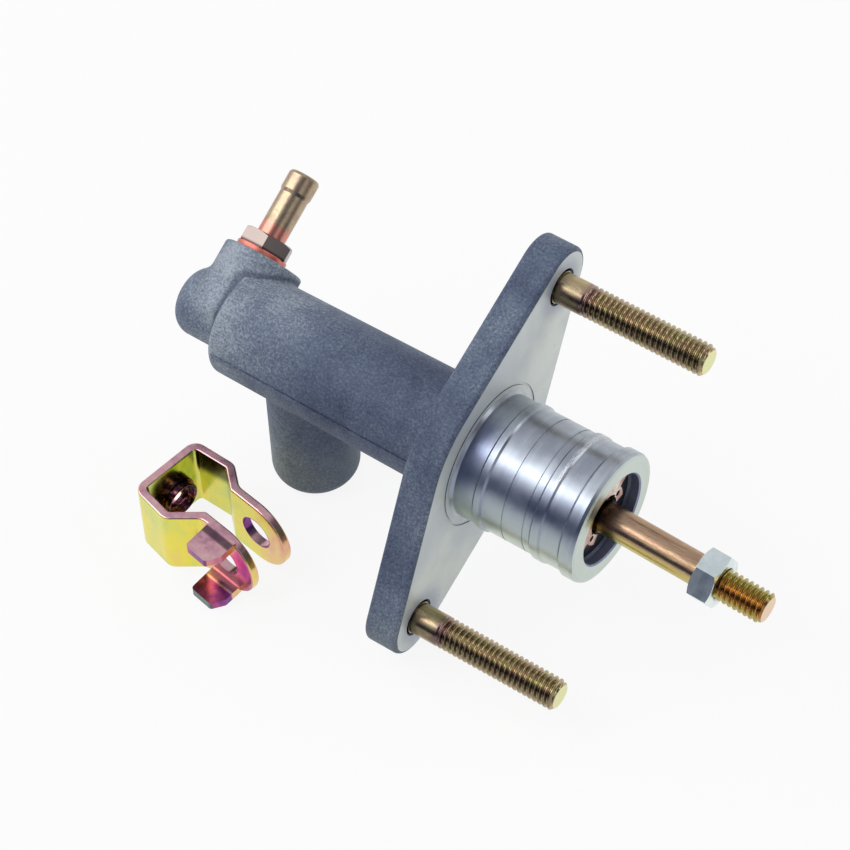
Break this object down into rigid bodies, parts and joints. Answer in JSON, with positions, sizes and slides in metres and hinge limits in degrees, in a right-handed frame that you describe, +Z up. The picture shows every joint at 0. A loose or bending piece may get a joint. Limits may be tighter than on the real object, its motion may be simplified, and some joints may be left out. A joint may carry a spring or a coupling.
{
  "type": "clutch master cylinder",
  "caption": "Clutch master cylinder: cast barrel with rhomboid stud flange, turned spigot, hose union, downward outlet boss, threaded pushrod with lock nut, and a folded clevis laid beside it.",
  "frame": {"origin": "on the bore axis, in the plane of the flange face that meets the bulkhead, midway between the two studs", "axes": "+X along the bore axis towards the pedal, the way the studs and spigot point; +Z up, opposite the outlet boss; the upper stud lies between +Y and +Z"},
  "size_m": [0.1656, 0.0897, 0.0829],
  "materials": {
    "cast_aluminium": "blasted casting",
    "yellow_zinc": "yellow zinc plate",
    "clear_zinc": "clear zinc plate",
    "copper": "soft copper",
    "brass": "turned brass",
    "bright_steel": "plain steel",
    "black_steel": "black phosphate",
    "rubber": "moulded",
    "piston_aluminium": "turned",
    "clevis_zinc": "iridescent yellow zinc plate"
  },
  "bodies": {
    "cylinder": {"casting_barrel": "cast_aluminium", "casting_outlet": "cast_aluminium", "casting_flange": "cast_aluminium", "casting_spigot": "cast_aluminium", "flange_stud_upper": "yellow_zinc", "flange_stud_lower": "yellow_zinc", "inlet_union": "yellow_zinc", "copper_washer": "copper", "outlet_seat": "brass", "circlip": "bright_steel", "stop_washer": "black_steel", "valve_spacer": "piston_aluminium", "valve_spring": "bright_steel", "return_spring": "bright_steel", "clevis_yoke": "clevis_zinc", "clevis_boss": "clevis_zinc"},
    "piston": {"piston": "piston_aluminium", "rear_seal": "rubber", "cup_shim": "bright_steel", "primary_cup": "rubber", "spring_cage": "bright_steel"},
    "valve": {"valve_stem": "bright_steel", "valve_seal": "rubber"},
    "pushrod": {"pushrod": "yellow_zinc"},
    "lock_nut": {"lock_nut": "clear_zinc"}
  },
  "joints": [
    {"name": "piston_stroke", "type": "slide", "parent": "cylinder", "child": "piston", "axis": [-1, 0, 0], "range_m": [0, 0.025], "stiffness_N_per_m": 1500, "springref_m": -0.01, "deforming": ["return_spring"]},
    {"name": "valve_lift", "type": "slide", "parent": "cylinder", "child": "valve", "axis": [-1, 0, 0], "range_m": [0, 0.00095]},
    {"name": "pushrod_swivel", "type": "hinge", "parent": "piston", "child": "pushrod", "pos_m": [0.02657, 0, 0], "axis": [0, -0.515, 0.8572], "range_deg": [0, 3.06]},
    {"name": "lock_nut_turn", "type": "hinge", "parent": "pushrod", "child": "lock_nut", "pos_m": [0.06196, -0.00081, -0.00049], "axis": [0.9996, -0.0229, -0.0138], "continuous": true}
  ],
  "couplings": [
    {"joint": "valve_lift", "follows": "piston_stroke", "ratio": 0.038}
  ]
}
